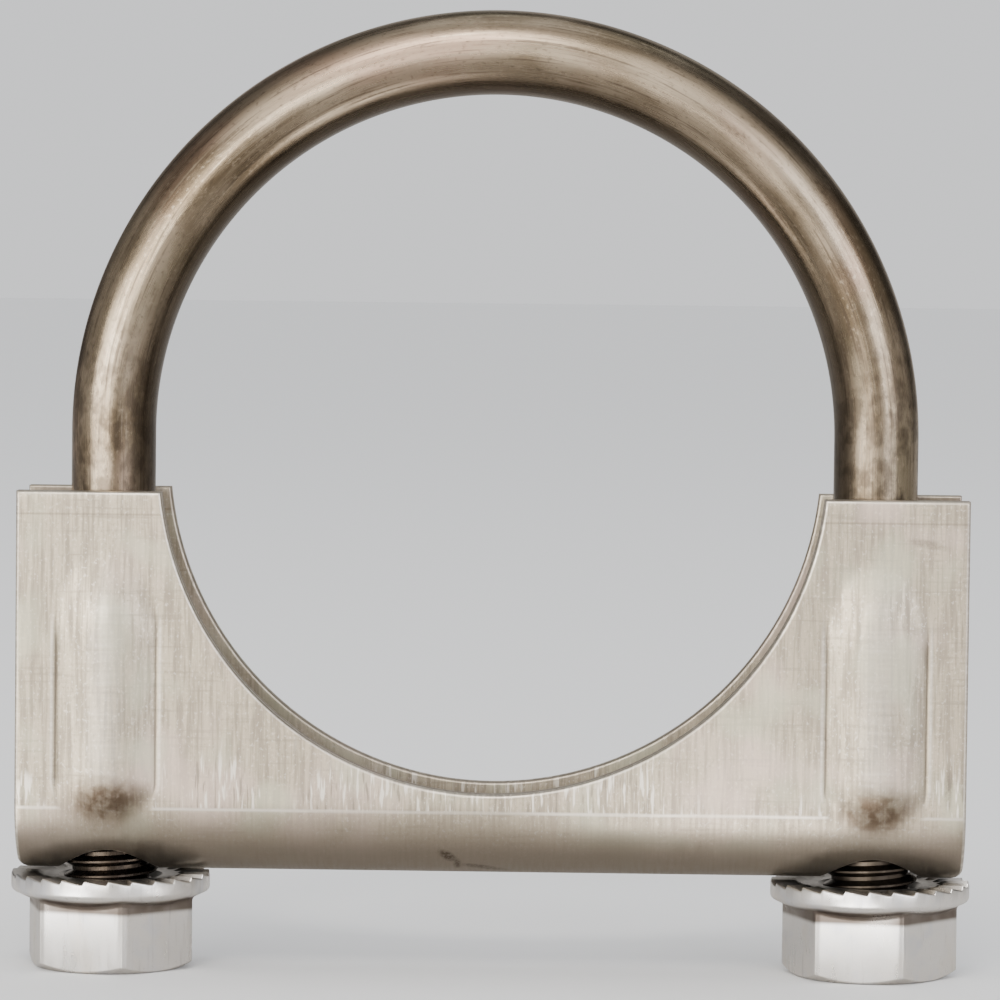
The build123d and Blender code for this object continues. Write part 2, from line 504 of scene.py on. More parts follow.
@dataclass(frozen=True)
class PressedSheetSteel:
    """Cold rolled sheet steel, blanked, pressed and folded with no plating.

    The rolls leave a light warm satin with faint upright lines. The edges are burnished by the tools, and a
    thin bright line runs where the fold starts. Painted highlights lie on the rolled edges, the rib crests
    and just outside each crease. Painted shade darkens the creases, the foot of each rib, the underside
    of the fold and the inner face, and the torn part of each sheared edge is dull.
    Sizes named cells are pattern cells for each millimetre along X, Y and Z.
    """

    satin: str = "#c6bba7"
    shade: str = "#9a9183"
    warm_tint: str = "#d8c6bb"
    green_tint: str = "#c9c8b2"
    polish_and_highlight_tone: str = "#ebe6dc"
    fold_shade_and_scratch: str = "#877f75"
    foot_shade: str = "#594a3d"
    torn: str = "#a2978a"
    grime_and_crease_shade: str = "#5b5349"
    inside_shade: str = "#5f574e"
    line_width_mm: float = 0.30
    line_length_mm: float = 5.0
    blotch_mm: float = 8.0
    cross_cells: tuple[float, float, float] = (0.15, 0.4, 2.6)
    tint_cells: tuple[float, float, float] = (0.19, 0.33, 0.17)
    grain_cells: tuple[float, float, float] = (4.0, 4.0, 3.0)
    scratch_cells: tuple[float, float, float] = (2.6, 1.0, 0.28)
    group_cells: tuple[float, float, float] = (0.30, 0.2, 0.10)
    caked_cells: tuple[float, float, float] = (0.8, 0.8, 0.8)
    fold_line_z: float = -29.3
    fold_line_width: float = 0.22
    die_line_z: float = -4.7
    die_line_width: float = 0.16
    scratch_low_z: float = -29.1
    scratch_high_z: float = -25.5
    smoothest: float = 0.40
    roughest: float = 0.54
    polish_gain: float = 0.12
    relief_mm: float = 0.010
    spots: tuple[Spot, ...] = (
        Spot((-3.5, -4.2, -33.1), (1.15, 2.5, 0.55), 32, 1.0),
        Spot((-2.7, -3.8, -33.9), (0.45, 2.5, 0.70), 0, 1.0),
        Spot((-0.4, -2.9, -34.2), (2.9, 2.5, 0.30), 9, 0.7),
        Spot((36.3, -6.0, -6.4), (2.3, 2.5, 0.50), 12, 0.45),
        Spot((38.2, -6.0, -26.8), (0.50, 2.5, 2.4), 0, 0.45),
    )

    def scratched(
        self,
        recipe: Recipe,
        tone: bpy.types.NodeSocket,
        height: bpy.types.NodeSocket,
        clear_of_rib: bpy.types.NodeSocket,
    ) -> bpy.types.NodeSocket:
        """Scores the sheet just above the fold, where it slid over the die, in ragged groups.

        Args:
            recipe: The recipe in the making.
            tone: The colour so far.
            height: The height on the saddle, in millimetres.
            clear_of_rib: 1 away from the ribs and 0 on them.

        Returns:
            The colour with dark and bright upright scratches.
        """
        scratch = recipe.noise(self.scratch_cells, 2.0)
        groups = recipe.noise(self.group_cells, 2.0)
        ragged = recipe.math("ADD", height, recipe.remap(groups, 0.35, 0.65, -3.0, 3.0))
        low_band = recipe.remap(ragged, self.scratch_high_z, self.scratch_low_z)
        above_fold = recipe.remap(height, self.scratch_low_z - 0.2, self.scratch_low_z)
        band = recipe.math("MULTIPLY", recipe.math("MULTIPLY", low_band, above_fold), clear_of_rib)
        dark = recipe.math("MULTIPLY", band, recipe.remap(scratch, 0.44, 0.36, 0.0, 0.65))
        bright = recipe.math("MULTIPLY", band, recipe.remap(scratch, 0.54, 0.62))
        return recipe.blend(bright, recipe.blend(dark, tone, self.fold_shade_and_scratch), self.polish_and_highlight_tone)

    def shade_and_die_line(
        self,
        recipe: Recipe,
        tone: bpy.types.NodeSocket,
        height: bpy.types.NodeSocket,
        rib_edge: bpy.types.NodeSocket,
    ) -> bpy.types.NodeSocket:
        """Lays painted shade under the fold, at each rib's foot and along the creases, and a dark die line
        near the top.

        Args:
            recipe: The recipe in the making.
            tone: The colour so far.
            height: The height on the saddle, in millimetres.
            rib_edge: The distance from a rib's outline, in millimetres.

        Returns:
            The colour with the painted shade and the die line.
        """
        # Painted shade on the underside of the fold
        tone = recipe.blend(recipe.math("MULTIPLY", recipe.value("folded"), 0.9), tone, self.fold_shade_and_scratch)
        # Painted shade: a dark patch at the foot of each rib, broken up by noise
        uneven = recipe.remap(recipe.noise(self.caked_cells, 3.0), 0.66, 0.40, 0.55, 0.92)
        foot_shade_mask = recipe.math("MULTIPLY", recipe.value("rib_foot_shade"), uneven)
        tone = recipe.blend(foot_shade_mask, tone, self.foot_shade)
        die_line = recipe.line(height, self.die_line_z, self.die_line_width)
        tone = recipe.blend(recipe.math("MULTIPLY", die_line, 0.35), tone, self.grime_and_crease_shade)
        # Painted shade: a thin dark line along each rib's crease
        crease_shade = recipe.math("MULTIPLY", recipe.line(rib_edge, 0.02, 0.17), recipe.value("creased"))
        return recipe.blend(recipe.math("MULTIPLY", crease_shade, 0.75), tone, self.grime_and_crease_shade)

    def bright_marks(
        self,
        recipe: Recipe,
        height: bpy.types.NodeSocket,
        rib_edge: bpy.types.NodeSocket,
        clear_of_rib: bpy.types.NodeSocket,
    ) -> bpy.types.NodeSocket:
        """Finds where the sheet is drawn brighter, by burnishing and by painted highlights.

        Args:
            recipe: The recipe in the making.
            height: The height on the saddle, in millimetres.
            rib_edge: The distance from a rib's outline, in millimetres.
            clear_of_rib: 1 away from the ribs and 0 on them.

        Returns:
            How bright it is: a thin line along the start of the fold, a painted highlight just outside each
            crease, and what the mesh gives, which is the edges' burnish and the painted highlights on the
            crests and the rolled edges.
        """
        fold_line = recipe.line(height, self.fold_line_z, self.fold_line_width)
        fold_line = recipe.math("MULTIPLY", fold_line, clear_of_rib)
        # Painted highlight: a thin bright line just outside each rib's crease
        beside = recipe.math("MULTIPLY", recipe.line(rib_edge, 0.34, 0.2), recipe.value("creased"))
        lines = recipe.math("MAXIMUM", fold_line, beside)
        return recipe.math("MAXIMUM", lines, recipe.value("rubbed_and_highlit"))

    def worn(self, recipe: Recipe, grain: bpy.types.NodeSocket) -> bpy.types.NodeSocket:
        """Gathers the nick, the burr and the smears, broken up by the grain.

        Args:
            recipe: The recipe in the making.
            grain: The grain's noise.

        Returns:
            How strongly a mark shows.
        """
        worn = recipe.spot(self.spots[0])
        for spot in self.spots[1:]:
            worn = recipe.math("MAXIMUM", worn, recipe.spot(spot))
        return recipe.math("MULTIPLY", worn, recipe.remap(grain, 0.62, 0.42, 0.4, 1.0))

    def make(self) -> bpy.types.Material:
        """Builds the material on the object's coordinates and on the mesh's marks: the press tools' marks,
        painted shade and painted highlights.

        Returns:
            The finished material.
        """
        recipe = Recipe("cold_rolled_steel_pressed")
        lines = recipe.noise((1 / self.line_width_mm, 0.4, 1 / self.line_length_mm), 4.0)
        cross = recipe.noise(self.cross_cells, 3.0)
        blotch = recipe.noise((1 / self.blotch_mm,) * 3, 2.0)
        tint = recipe.noise(self.tint_cells, 1.0)
        grain = recipe.noise(self.grain_cells, 3.0)
        height = recipe.axis("Z")
        rib_edge = recipe.value("rib_edge")
        clear_of_rib = recipe.remap(rib_edge, 0.3, 1.0)
        on_plate = recipe.remap(recipe.value("folded"), 0.0, 0.8, 1.0, 0.25)

        lined = recipe.math("MULTIPLY", recipe.remap(lines, 0.36, 0.66, 0.0, 0.85), on_plate)
        tone = recipe.layered(
            recipe.blend(lined, self.satin, self.shade),
            (cross, 0.54, 0.72, 0.5, self.shade),
            (grain, 0.56, 0.72, 0.6, self.shade),
            (grain, 0.44, 0.30, 0.5, self.polish_and_highlight_tone),
            (blotch, 0.5, 0.72, 0.6, self.warm_tint),
            (tint, 0.52, 0.72, 0.6, self.green_tint),
        )
        tone = self.scratched(recipe, tone, height, clear_of_rib)
        tone = self.shade_and_die_line(recipe, tone, height, rib_edge)
        rubbed_and_highlit = self.bright_marks(recipe, height, rib_edge, clear_of_rib)
        rubbed_and_highlit = recipe.math("MULTIPLY", rubbed_and_highlit, recipe.remap(cross, 0.25, 0.6, 1.0, 0.5))
        # Painted highlights on the ribs, beside the creases and on the rolled edges, with the edges'
        # burnish and a bright line at the fold's start
        tone = recipe.blend(rubbed_and_highlit, tone, self.polish_and_highlight_tone)
        tone = recipe.blend(recipe.value("torn"), tone, self.torn)
        # Painted shade on the inner face, darker further from the seat
        tone = recipe.blend(recipe.value("inside"), tone, self.inside_shade)
        tone = recipe.blend(self.worn(recipe, grain), tone, self.grime_and_crease_shade)

        rough = recipe.remap(recipe.math("ADD", lines, blotch), 0.7, 1.3, self.smoothest, self.roughest)
        rough = recipe.math("SUBTRACT", rough, recipe.math("MULTIPLY", rubbed_and_highlit, self.polish_gain))
        rolled = recipe.math("MULTIPLY", lines, on_plate)
        return recipe.finish(tone, rough, recipe.relief(rolled, grain, 0.6), self.relief_mm)


@dataclass(frozen=True)
class BrightZincPlate:
    """Bright zinc plate with a clear passivate, on a cold forged steel nut.

    The plate is smooth and nearly white. A thin passivate film gives it faint blue and straw clouds, and
    the forging die's drag lines run up the flats. A dark brown reflection is painted where the flats meet
    the cone, and the oil on the bearing face and in the bore is darkened further as painted shade.
    """

    zinc: str = "#f7f7f6"
    blue_cloud: str = "#e6eaf2"
    straw_cloud: str = "#f3efe7"
    dull: str = "#c3c2c1"
    cone_reflection_brown: str = "#685e56"
    oil_and_gap_shade: str = "#504d48"
    cone_reflection_z: float = -37.6
    cone_reflection_half_mm: float = 0.95
    cone_reflection_share: float = 0.97
    cloud_mm: float = 3.5
    straw_cells: tuple[float, float, float] = (0.4, 0.3, 0.22)
    grain_mm: float = 1 / 6
    drag_width_mm: float = 0.5
    drag_length_mm: float = 5.0
    smoothest: float = 0.27
    roughest: float = 0.38
    relief_mm: float = 0.008

    def make(self) -> bpy.types.Material:
        """Builds the material on the object's coordinates.

        Returns:
            The finished material.
        """
        recipe = Recipe("bright_zinc_clear_passivate")
        cloud = recipe.noise((1 / self.cloud_mm,) * 3, 2.0)
        straw = recipe.noise(self.straw_cells, 2.0)
        across = 1 / self.drag_width_mm
        drag = recipe.noise((across, across, 1 / self.drag_length_mm), 3.0)
        grain = recipe.noise((1 / self.grain_mm,) * 3, 2.0)

        tone = recipe.layered(
            self.zinc,
            (cloud, 0.48, 0.72, 0.8, self.blue_cloud),
            (straw, 0.5, 0.75, 0.6, self.straw_cloud),
            (drag, 0.56, 0.76, 0.45, self.dull),
            (grain, 0.62, 0.76, 0.35, self.dull),
        )
        # Painted reflection: a dark brown ring and band on the cone under the flange
        root = recipe.line(recipe.axis("Z"), self.cone_reflection_z, self.cone_reflection_half_mm)
        root = recipe.remap(root, 0.0, 0.65, 0.0, self.cone_reflection_share)
        stained = recipe.math("MAXIMUM", recipe.value("stained"), root)
        stained = recipe.math("MULTIPLY", stained, recipe.remap(cloud, 0.25, 0.6, 0.82, 1.0))
        tone = recipe.blend(stained, tone, self.cone_reflection_brown)
        # Oil on the bearing face and in the bore, darkened further as painted shade of the gap under the
        # saddle
        tone = recipe.blend(recipe.value("oily"), tone, self.oil_and_gap_shade)
        rough = recipe.remap(recipe.math("ADD", cloud, drag), 0.7, 1.3, self.smoothest, self.roughest)
        return recipe.finish(tone, rough, recipe.relief(drag, grain, 0.6), self.relief_mm)


# --------------------------------------------------------------------- threads
@dataclass(frozen=True)
class RolledThread:
    """The right-handed M8 screw thread that the legs and the nuts share."""

    pitch: float = 1.25
    crest: float = 3.95
    root: float = 3.26
    crest_half_flat: float = 1 / 16
    root_half_flat: float = 1 / 8
    flank_ease: float = 0.4
    rows_per_turn: int = 16
    runout_turns: float = 1.5

    def radius(self, turns: np.ndarray) -> np.ndarray:
        """Gives the radius at a count of turns along the thread.

        The distance from the nearest crest, in turns, is 0 to 1/2. The crest and the root are flat on each
        side of their middle, and the straight flanks between them are eased a little, as rolls leave them.

        Args:
            turns: The place along the thread, in turns from a crest.

        Returns:
            The radius at each place.
        """
        off_crest = np.abs(turns - np.round(turns))
        flank = 1 / 2 - self.root_half_flat - self.crest_half_flat
        depth = np.clip((off_crest - self.crest_half_flat) / flank, 0.0, 1.0)
        eased = (1.0 - self.flank_ease) * depth + self.flank_ease * ease(depth)
        return self.crest - (self.crest - self.root) * eased

    def grid(self, angles: np.ndarray, low: float, high: float) -> tuple[np.ndarray, np.ndarray]:
        """Lays rows along the helix: the height is one pitch for each turn of the row and of the angle.

        Args:
            angles: The columns' angles about the thread's axis, over one full turn.
            low: The thread's lower end. Rows below it are pressed flat onto it.
            high: The thread's upper end, likewise.

        Returns:
            The heights and the radii, each as rows x columns.
        """
        first = math.floor(low / self.pitch - angles.max() / TURN) - 1
        last = math.ceil(high / self.pitch - angles.min() / TURN) + 1
        turns = np.linspace(first, last, (last - first) * self.rows_per_turn + 1)[:, None]
        heights = self.pitch * (turns + angles[None] / TURN)
        radii = np.broadcast_to(self.radius(turns), heights.shape)
        return np.clip(heights, low, high), radii


# ----------------------------------------------------------------- U-bolt bar
@dataclass
class DrawnBar:
    """The bar of the U-bolt, bent to a half circle, with a rolled thread on the end of each leg."""

    bar_radius: float = 3.55
    leg_x: float = 32.15
    bend_z: float = 2.1
    end_z: float = -42.8
    thread_top_z: float = -16.5
    chamfer_radius: float = 3.0
    end_rings: tuple[float, ...] = (1.0, 0.9, 0.45, 0.0)
    end_dish: float = 0.12
    columns: int = 72
    bend_rows: int = 190
    leg_rows: int = 16
    crease: float = 38.0
    thread: RolledThread = field(default_factory=RolledThread)
    finish: DrawnBarSteel = field(default_factory=DrawnBarSteel)

    def unbent(self, along: np.ndarray, radius: np.ndarray, angles: np.ndarray) -> np.ndarray:
        """Gives each point's place on the straight bar before it was bent, in millimetres."""
        parts = np.broadcast_arrays(along, radius * np.cos(angles), radius * np.sin(angles))
        return np.stack(parts, axis=-1)

    def tube(self, skin: Skin) -> None:
        """Carries a circle up the left leg, round the half circle of the bend and down the right leg.

        The path is straight up to the height of the bend's centre and then turns about it. The circle's
        outward direction is the path's own, and its other direction is Y.

        Args:
            skin: The bar's skin, which takes the tube.
        """
        length = self.bend_z - self.thread_top_z
        bend_length = math.pi * self.leg_x
        rise = np.linspace(0.0, length, self.leg_rows)
        sweep = np.linspace(0.0, bend_length, self.bend_rows)[1:-1]
        path = np.concatenate([rise, length + sweep, length + bend_length + rise])[:, None]
        turned = np.clip((path - length) / self.leg_x, 0.0, math.pi)
        past_bend = path - length - bend_length
        straight = np.maximum(np.minimum(path, length) - np.maximum(past_bend, 0.0), 0.0)
        angles = np.linspace(0.0, TURN, self.columns + 1)[None]
        radius = self.bar_radius * np.ones_like(path)
        reach = self.leg_x + radius * np.cos(angles)
        x = -np.cos(turned) * reach
        z = self.thread_top_z + straight + np.sin(turned) * reach
        z = np.where(past_bend > 0.0, self.bend_z - past_bend, z)
        y = np.broadcast_to(radius * np.sin(angles), x.shape)
        along = path - length - bend_length / 2
        skin.patch(np.stack([x, y, z], axis=-1), unbent=self.unbent(along, radius, angles))

    def leg_end(self, skin: Skin, side: Side) -> None:
        """Makes one threaded end with its lead-in chamfer, its run-out and its cut face.

        The thread fades into the bar over its last turns. At the free end the radius is held under a cone
        of 45 degrees. The cut face is a few rings that rise a little towards the middle.

        Args:
            skin: The bar's skin, which takes the end.
            side: Which leg it is on.
        """
        turned = np.linspace(0.0, TURN, self.columns + 1)
        angles = math.pi - turned if side is Side.LEFT else turned
        heights, radii = self.thread.grid(angles, self.end_z, self.thread_top_z)
        fade = ease((self.thread_top_z - heights) / (self.thread.runout_turns * self.thread.pitch))
        radii = self.bar_radius + (radii - self.bar_radius) * fade
        radii = np.minimum(radii, self.chamfer_radius + heights - self.end_z)
        centre = side.value * self.leg_x
        x, y = centre + radii * np.cos(angles), radii * np.sin(angles)
        along = side.value * (math.pi / 2 * self.leg_x + self.bend_z - heights)
        skin.patch(np.stack([x, y, heights], axis=-1), unbent=self.unbent(along, radii, turned[None]))

        rings = np.array(self.end_rings)[:, None]
        reach = self.chamfer_radius * rings
        level = self.end_z + self.end_dish * (1.0 - rings**2)
        face = np.broadcast_arrays(centre + reach * np.cos(angles), reach * np.sin(angles), level)
        far = side.value * (math.pi / 2 * self.leg_x + self.bend_z - self.end_z)
        skin.patch(np.stack(face, axis=-1), unbent=self.unbent(far, reach, turned[None]))

    def build(self) -> bpy.types.Object:
        """Builds the bar in one closed skin and dresses it.

        Returns:
            The finished bar.
        """
        skin = Skin("drawn_bar")
        self.tube(skin)
        for side in Side:
            self.leg_end(skin, side)
        piece = skin.weld(self.crease)
        piece.data.materials.append(self.finish.make())
        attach(piece, "u_bolt")
        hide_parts("u_bolt")
        return piece


# --------------------------------------------------------------------- saddle
@dataclass(frozen=True)
class PressMarks:
    """Where the press tools and the handling marked the sheet and where shade and highlights are painted on
    it, in millimetres and in shares of 0 to 1.
    """

    foot_z: float = -28.7
    foot_half_width: float = 3.5
    foot_half_height: float = 2.3
    foot_edge: float = 1.3
    foot_blend: float = 0.9
    fold_ramp_above: float = 1.2
    fold_ramp_length: float = 5.8
    crest_width_share: float = 0.4
    crest_highlight: float = 0.45
    crease_fade: float = 2.2
    outside_depth: float = 0.05
    inside_depth: float = 0.01
    inside_least: float = 0.15
    inside_more: float = 0.65
    inside_reach: float = 7.0


@dataclass
class FoldedSaddle:
    """The saddle: one sheet with two seat cut-outs and two leg holes, ribbed and folded to a channel.

    The sheet is followed by two numbers: X across the saddle, and the run, which is the distance down the
    front plate, round the outside of the fold and up the back plate. A third number, the depth, is the
    distance from the outside into the sheet. The inset is how far a line lies inside the outline.
    """

    width: float = 79.5
    top_z: float = -2.8
    fold_z: float = -28.9
    outer_radius: float = 6.0
    thickness: float = 2.0
    seat_radius: float = 27.8
    hole_radius: float = 4.2
    leg_x: float = 32.15
    end_round: float = 0.8
    outer_round: float = 0.30
    inner_round: float = 0.18
    rib_half_width: float = 4.18
    rib_height: float = 0.97
    rib_top: float = -7.8
    rib_full: float = -15.5
    rib_low: float = -27.0
    rib_bottom: float = -30.5
    rib_step: float = 0.9
    rib_end_softness: float = 1.6
    crease_depth: float = 0.05
    crease_width: float = 0.14
    crease_fade: float = 2.5
    close_steps: tuple[float, ...] = (0.07, 0.15, 0.26, 0.42, 0.70)
    corner_gap: float = 0.02
    rib_columns: int = 12
    flank_columns: int = 6
    seat_columns: int = 96
    plate_rows: int = 62
    fold_columns: int = 32
    hole_rings: int = 8
    hole_squeeze: float = 0.62
    steepest_fold: float = 0.985
    round_steps: int = 4
    rolled_highlight: float = 0.85
    closing_polish: float = 0.3
    closing_torn: float = 0.35
    # The sheared wall's stations: depth, inset, how burnished and how torn
    sheared_wall: tuple[tuple[float, float, float, float], ...] = (
        (0.75, 0.00, 0.5, 0.05),
        (0.95, 0.05, 0.1, 0.70),
        (1.30, 0.06, 0.0, 0.90),
        (1.60, 0.03, 0.0, 0.80),
    )
    crease: float = 32.0
    press: PressMarks = field(default_factory=PressMarks)
    finish: PressedSheetSteel = field(default_factory=PressedSheetSteel)

    @property
    def plate_height(self) -> float:
        """The flat height of each plate, from its top edge to the start of the fold."""
        return self.top_z - self.fold_z

    @property
    def fold_run(self) -> float:
        """The length of the fold along its outside."""
        return math.pi * self.outer_radius

    @property
    def full_run(self) -> float:
        """The length of the sheet along its outside, from one top edge to the other."""
        return 2 * self.plate_height + self.fold_run

    @property
    def fold_runs(self) -> np.ndarray:
        """The runs of the fold's rows."""
        return self.plate_height + np.linspace(0.0, self.fold_run, self.fold_columns + 1)

    def from_top(self, run: np.ndarray) -> np.ndarray:
        """Gives the distance along the sheet from the nearer top edge."""
        return np.minimum(run, self.full_run - run)

    def fold_angle(self, run: np.ndarray) -> np.ndarray:
        """Gives the angle about the fold's centre line, which is 0 where the fold is lowest."""
        return np.clip((run - self.plate_height) / self.outer_radius, 0.0, math.pi) - math.pi / 2

    def rib_reach(self, x: np.ndarray, run: np.ndarray, half_width: float) -> tuple[np.ndarray, np.ndarray]:
        """Gives the distance from a rib's middle, where 1 is its outline, and the length past its ends.

        Past each end the distance grows with the length past it too, so the outline closes in a half oval
        at the foot and in a longer, softer curve at the top.

        Args:
            x: The points' X.
            run: The points' run.
            half_width: Half the rib's width.

        Returns:
            The distance, in half widths, and the length, in lengths of that end.
        """
        beside = (np.abs(x) - self.leg_x) / half_width
        height = self.top_z - self.from_top(run)
        above = np.clip((height - self.rib_full) / (self.rib_top - self.rib_full), 0.0, None)
        below = np.clip((self.rib_low - height) / (self.rib_low - self.rib_bottom), 0.0, None)
        return np.sqrt(beside**2 + above**3 + below**2), above + below

    def rib_rise(self, x: np.ndarray, run: np.ndarray, half_width: float) -> np.ndarray:
        """Gives how far the ribs stand out, 0 to 1.

        The rise is one less the square of the distance from the rib's middle, which leaves a crease at
        each side. Past each end it is raised to a higher power, so the ends run out softly.

        Args:
            x: The points' X.
            run: The points' run.
            half_width: Half the rib's width.

        Returns:
            The rise at each point.
        """
        far, past = self.rib_reach(x, run, half_width)
        return np.clip(1.0 - far**2, 0.0, 1.0) ** (1.0 + ease(self.rib_end_softness * past))

    def groove(self, x: np.ndarray, run: np.ndarray) -> np.ndarray:
        """Gives how deep the press tool's edge bit in along a rib's outline, as a bell curve across it.

        Args:
            x: The points' X.
            run: The points' run.

        Returns:
            The depth in millimetres, which fades out past the ribs' ends.
        """
        far, past = self.rib_reach(x, run, self.rib_half_width)
        off = (far - 1.0) * self.rib_half_width
        bell = np.exp(-((off / self.crease_width) ** 2))
        return self.crease_depth * bell * (1.0 - ease(self.crease_fade * past))

    def place(self, x: np.ndarray, run: np.ndarray, depth: np.ndarray | float) -> np.ndarray:
        """Folds points of the sheet to their place.

        On a plate the run is a height and the outside faces along Y. In the fold the run is an angle about
        the fold's centre line, and a point's radius is the outer radius less its depth. The ribs then move
        a point outwards, the inner face with a narrower rib than the outer one.

        Args:
            x: The points' X.
            run: The points' run.
            depth: The points' depth.

        Returns:
            The points in space, with one axis more than the numbers given.
        """
        x, run, depth = np.broadcast_arrays(x, run, np.asarray(depth, dtype=float))
        angle = self.fold_angle(run)
        share = np.clip(depth / self.thickness, 0.0, 1.0)
        outer = self.rib_height * self.rib_rise(x, run, self.rib_half_width) - self.groove(x, run)
        inner = self.rib_height * self.rib_rise(x, run, self.rib_half_width - self.rib_step)
        reach = self.outer_radius - depth + (1 - share) * outer + share * inner
        front = np.clip(self.plate_height - run, 0.0, None)
        back = np.clip(run - self.plate_height - self.fold_run, 0.0, None)
        in_fold = np.abs(angle) < math.pi / 2 - ANGLE_SLACK
        z = self.fold_z - reach * np.cos(angle) * in_fold + front + back
        return np.stack([x, reach * np.sin(angle), z], axis=-1)

    def end_x(self, run: np.ndarray, inset: float) -> np.ndarray:
        """Gives the X of the right end, which is pulled in along a small circle where the fold is lowest.

        Args:
            run: The points' run.
            inset: How far the line lies inside the end.

        Returns:
            The X of each point.
        """
        height = self.outer_radius * (1.0 - np.cos(self.fold_angle(run)))
        under = np.clip(self.end_round - height, 0.0, None)
        pull = self.end_round - np.sqrt(self.end_round**2 - under**2)
        return self.width / 2 - inset - pull

    def corner_x(self, inset: float) -> float:
        """Gives the X where the top edge meets the seat, with both set in by the same amount."""
        return math.sqrt((self.seat_radius + inset) ** 2 - (self.top_z - inset) ** 2)

    def ear_columns(self, inset: float) -> np.ndarray:
        """Gives the X of the ear's columns, from the seat's corner to the end, closest beside the creases.

        Args:
            inset: How far the first and last columns lie inside the outline.

        Returns:
            The X of each column of the right ear.
        """
        inner, outer = self.corner_x(inset), self.width / 2 - inset
        left, right = self.leg_x - self.rib_half_width, self.leg_x + self.rib_half_width
        close = np.array(self.close_steps)
        middle = np.linspace(left + close[-1], right - close[-1], self.rib_columns + 2)[1:-1]
        flank = np.linspace(right + close[-1], outer, self.flank_columns + 1)[1:]
        start = [min(inner, left - self.corner_gap), left]
        across_rib = [left + close, middle, right - close[::-1]]
        return np.concatenate([start, *across_rib, [right], right + close, flank])

    def plate_runs(self, inset: float) -> np.ndarray:
        """Gives the run of the front plate's rows, from the top edge to the start of the fold."""
        return np.linspace(inset, self.plate_height, self.plate_rows + 1)

    def seat_line(self, inset: float) -> tuple[np.ndarray, np.ndarray]:
        """Follows the front plate's seat at equal angles, from its left corner to its right one.

        Args:
            inset: How far the line lies inside the seat's edge.

        Returns:
            The X and the run of each point.
        """
        radius = self.seat_radius + inset
        limit = math.asin(self.corner_x(inset) / radius)
        angles = np.linspace(-limit, limit, self.seat_columns + 1)
        return radius * np.sin(angles), self.top_z + radius * np.cos(angles)

    def plates(self, skin: Skin, inset: float, depth: float) -> None:
        """Covers both plates on one face of the sheet: the two ears and the web under the seat.

        An ear is a plain grid. The web's columns start on the seat, at equal angles, and run straight down
        to the fold.

        Args:
            skin: The saddle's skin, which takes the faces.
            inset: How far the face ends inside the outline.
            depth: The face's depth.
        """
        runs = self.plate_runs(inset)
        columns = self.ear_columns(inset)
        web_x, web_top = self.seat_line(inset)
        share = ((runs - runs[0]) / (runs[-1] - runs[0]))[:, None]
        web_run = web_top[None] + (self.plate_height - web_top[None]) * share
        for side in Side:
            self.surface(skin, side.value * columns[None], runs[:, None], depth)
            self.surface(skin, side.value * columns[None], self.full_run - runs[:, None], depth)
        self.surface(skin, web_x[None], web_run, depth)
        self.surface(skin, web_x[None], self.full_run - web_run, depth)

    def surface(self, skin: Skin, x: np.ndarray, run: np.ndarray, depth: float) -> None:
        """Adds one grid of the sheet with the marks that the press tools left on it."""
        x, run = np.broadcast_arrays(x, run)
        skin.patch(self.place(x, run, depth), **self.marks(x, run, depth))

    def marks(self, x: np.ndarray, run: np.ndarray, depth: np.ndarray | float) -> dict[str, np.ndarray]:
        """Works out the marks that the press tools and the handling left, and where shade and highlights
        are painted.

        Args:
            x: The points' X.
            run: The points' run.
            depth: The points' depth.

        Returns:
            The distance in millimetres from a rib's outline and how sharp its crease is there, how far
            round the fold a point is, which also sets the painted shade under the fold, and how strongly
            the painted shade at the rib's foot, the painted highlight on the crests and the painted shade
            of the inner face show.
        """
        x, run, depth = np.broadcast_arrays(x, run, np.asarray(depth, dtype=float))
        press = self.press
        far, past = self.rib_reach(x, run, self.rib_half_width)
        beyond = self.from_top(run) - self.plate_height
        height = self.fold_z - beyond
        across = (np.abs(x) - self.leg_x) / press.foot_half_width
        off_foot = np.hypot(across, (height - press.foot_z) / press.foot_half_height)
        foot = ease((press.foot_edge - off_foot) / press.foot_blend)
        outside = np.clip(1.0 - depth / press.outside_depth, 0.0, 1.0)
        crest = self.rib_rise(x, run, self.rib_half_width * press.crest_width_share)
        off_seat = np.hypot(x, height) - self.seat_radius
        # Painted shade of the inner face, growing away from the seat
        film = press.inside_least + press.inside_more * ease(off_seat / press.inside_reach)
        return {
            "rib_edge": (far - 1.0) * self.rib_half_width,
            "creased": outside * (1.0 - ease(press.crease_fade * past)),
            # How far round the fold a point is, which sets the painted shade under the fold
            "folded": ease((beyond + press.fold_ramp_above) / press.fold_ramp_length),
            # Painted shade at the foot of each rib
            "rib_foot_shade": outside * foot,
            # Painted highlight along the middle of each rib
            "rubbed_and_highlit": outside * crest * press.crest_highlight * (1.0 - foot),
            "inside": np.where(depth > self.thickness - press.inside_depth, film, 0.0),
            "torn": np.zeros_like(x),
        }

    def fold(self, skin: Skin, inset: float, depth: float) -> None:
        """Covers the fold on one face of the sheet.

        Under the seat it is a plain grid. Round each leg hole it is a ring of columns from the hole's edge
        to the edges of the ear, shared out evenly between them.

        Args:
            skin: The saddle's skin, which takes the faces.
            inset: How far the face ends inside the outline.
            depth: The face's depth.
        """
        web_x, _ = self.seat_line(inset)
        self.surface(skin, web_x[None], self.fold_runs[:, None], depth)
        edge_x, edge_run = self.fold_border(inset)
        hole_x, hole_run = self.hole_edge(edge_x, edge_run, self.hole_radius + inset, depth)
        share = np.linspace(0.0, 1.0, self.hole_rings + 1)[:, None]
        ring_x = hole_x * (1 - share) + edge_x * share
        ring_run = hole_run * (1 - share) + edge_run * share
        for side in Side:
            self.surface(skin, side.value * ring_x, ring_run, depth)

